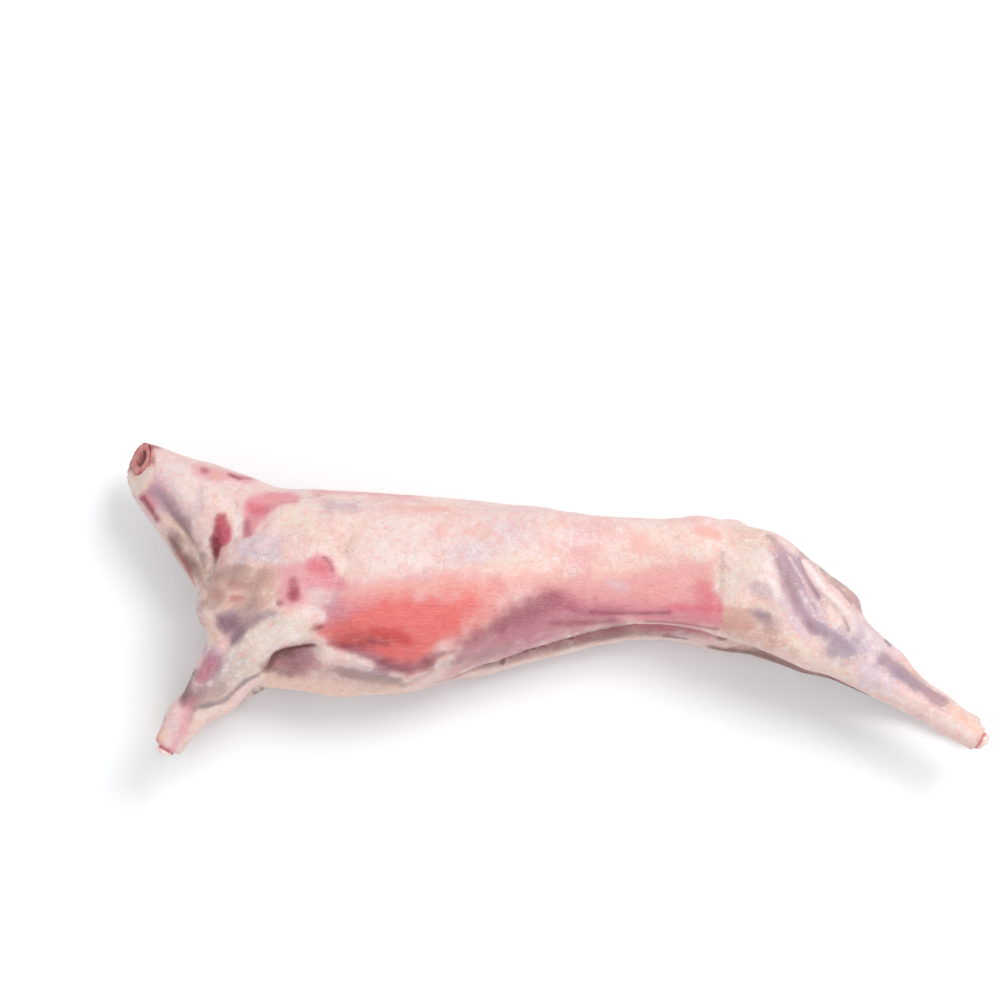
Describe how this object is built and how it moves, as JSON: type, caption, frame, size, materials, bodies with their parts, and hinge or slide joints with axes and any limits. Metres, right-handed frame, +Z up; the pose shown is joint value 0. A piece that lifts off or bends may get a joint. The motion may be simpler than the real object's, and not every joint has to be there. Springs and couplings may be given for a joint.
{
  "type": "raw whole lamb carcass",
  "caption": "Whole raw dressed lamb carcass lying on its side, without head, feet and organs, with a slit belly and bone ends at the neck, knees and hocks.",
  "frame": {"origin": "on the table, under the middle of the carcass's box", "axes": "+X from the neck to the hocks, +Y from the belly to the back, +Z up from the table, from the right side to the left side of the animal"},
  "size_m": [1.0902, 0.401, 0.1987],
  "materials": {
    "meat": "moist raw lamb: cream fat and membrane over pink and red muscle",
    "bone": "sawn bone, pink with a dark red canal",
    "cartilage": "smooth wet joint cartilage, cream"
  },
  "bodies": {
    "root": {"carcass": "meat", "neck_bone": "bone", "fore_bone_near": "cartilage", "fore_bone_far": "cartilage", "hind_bone_near": "cartilage", "hind_bone_far": "cartilage"}
  },
  "joints": []
}
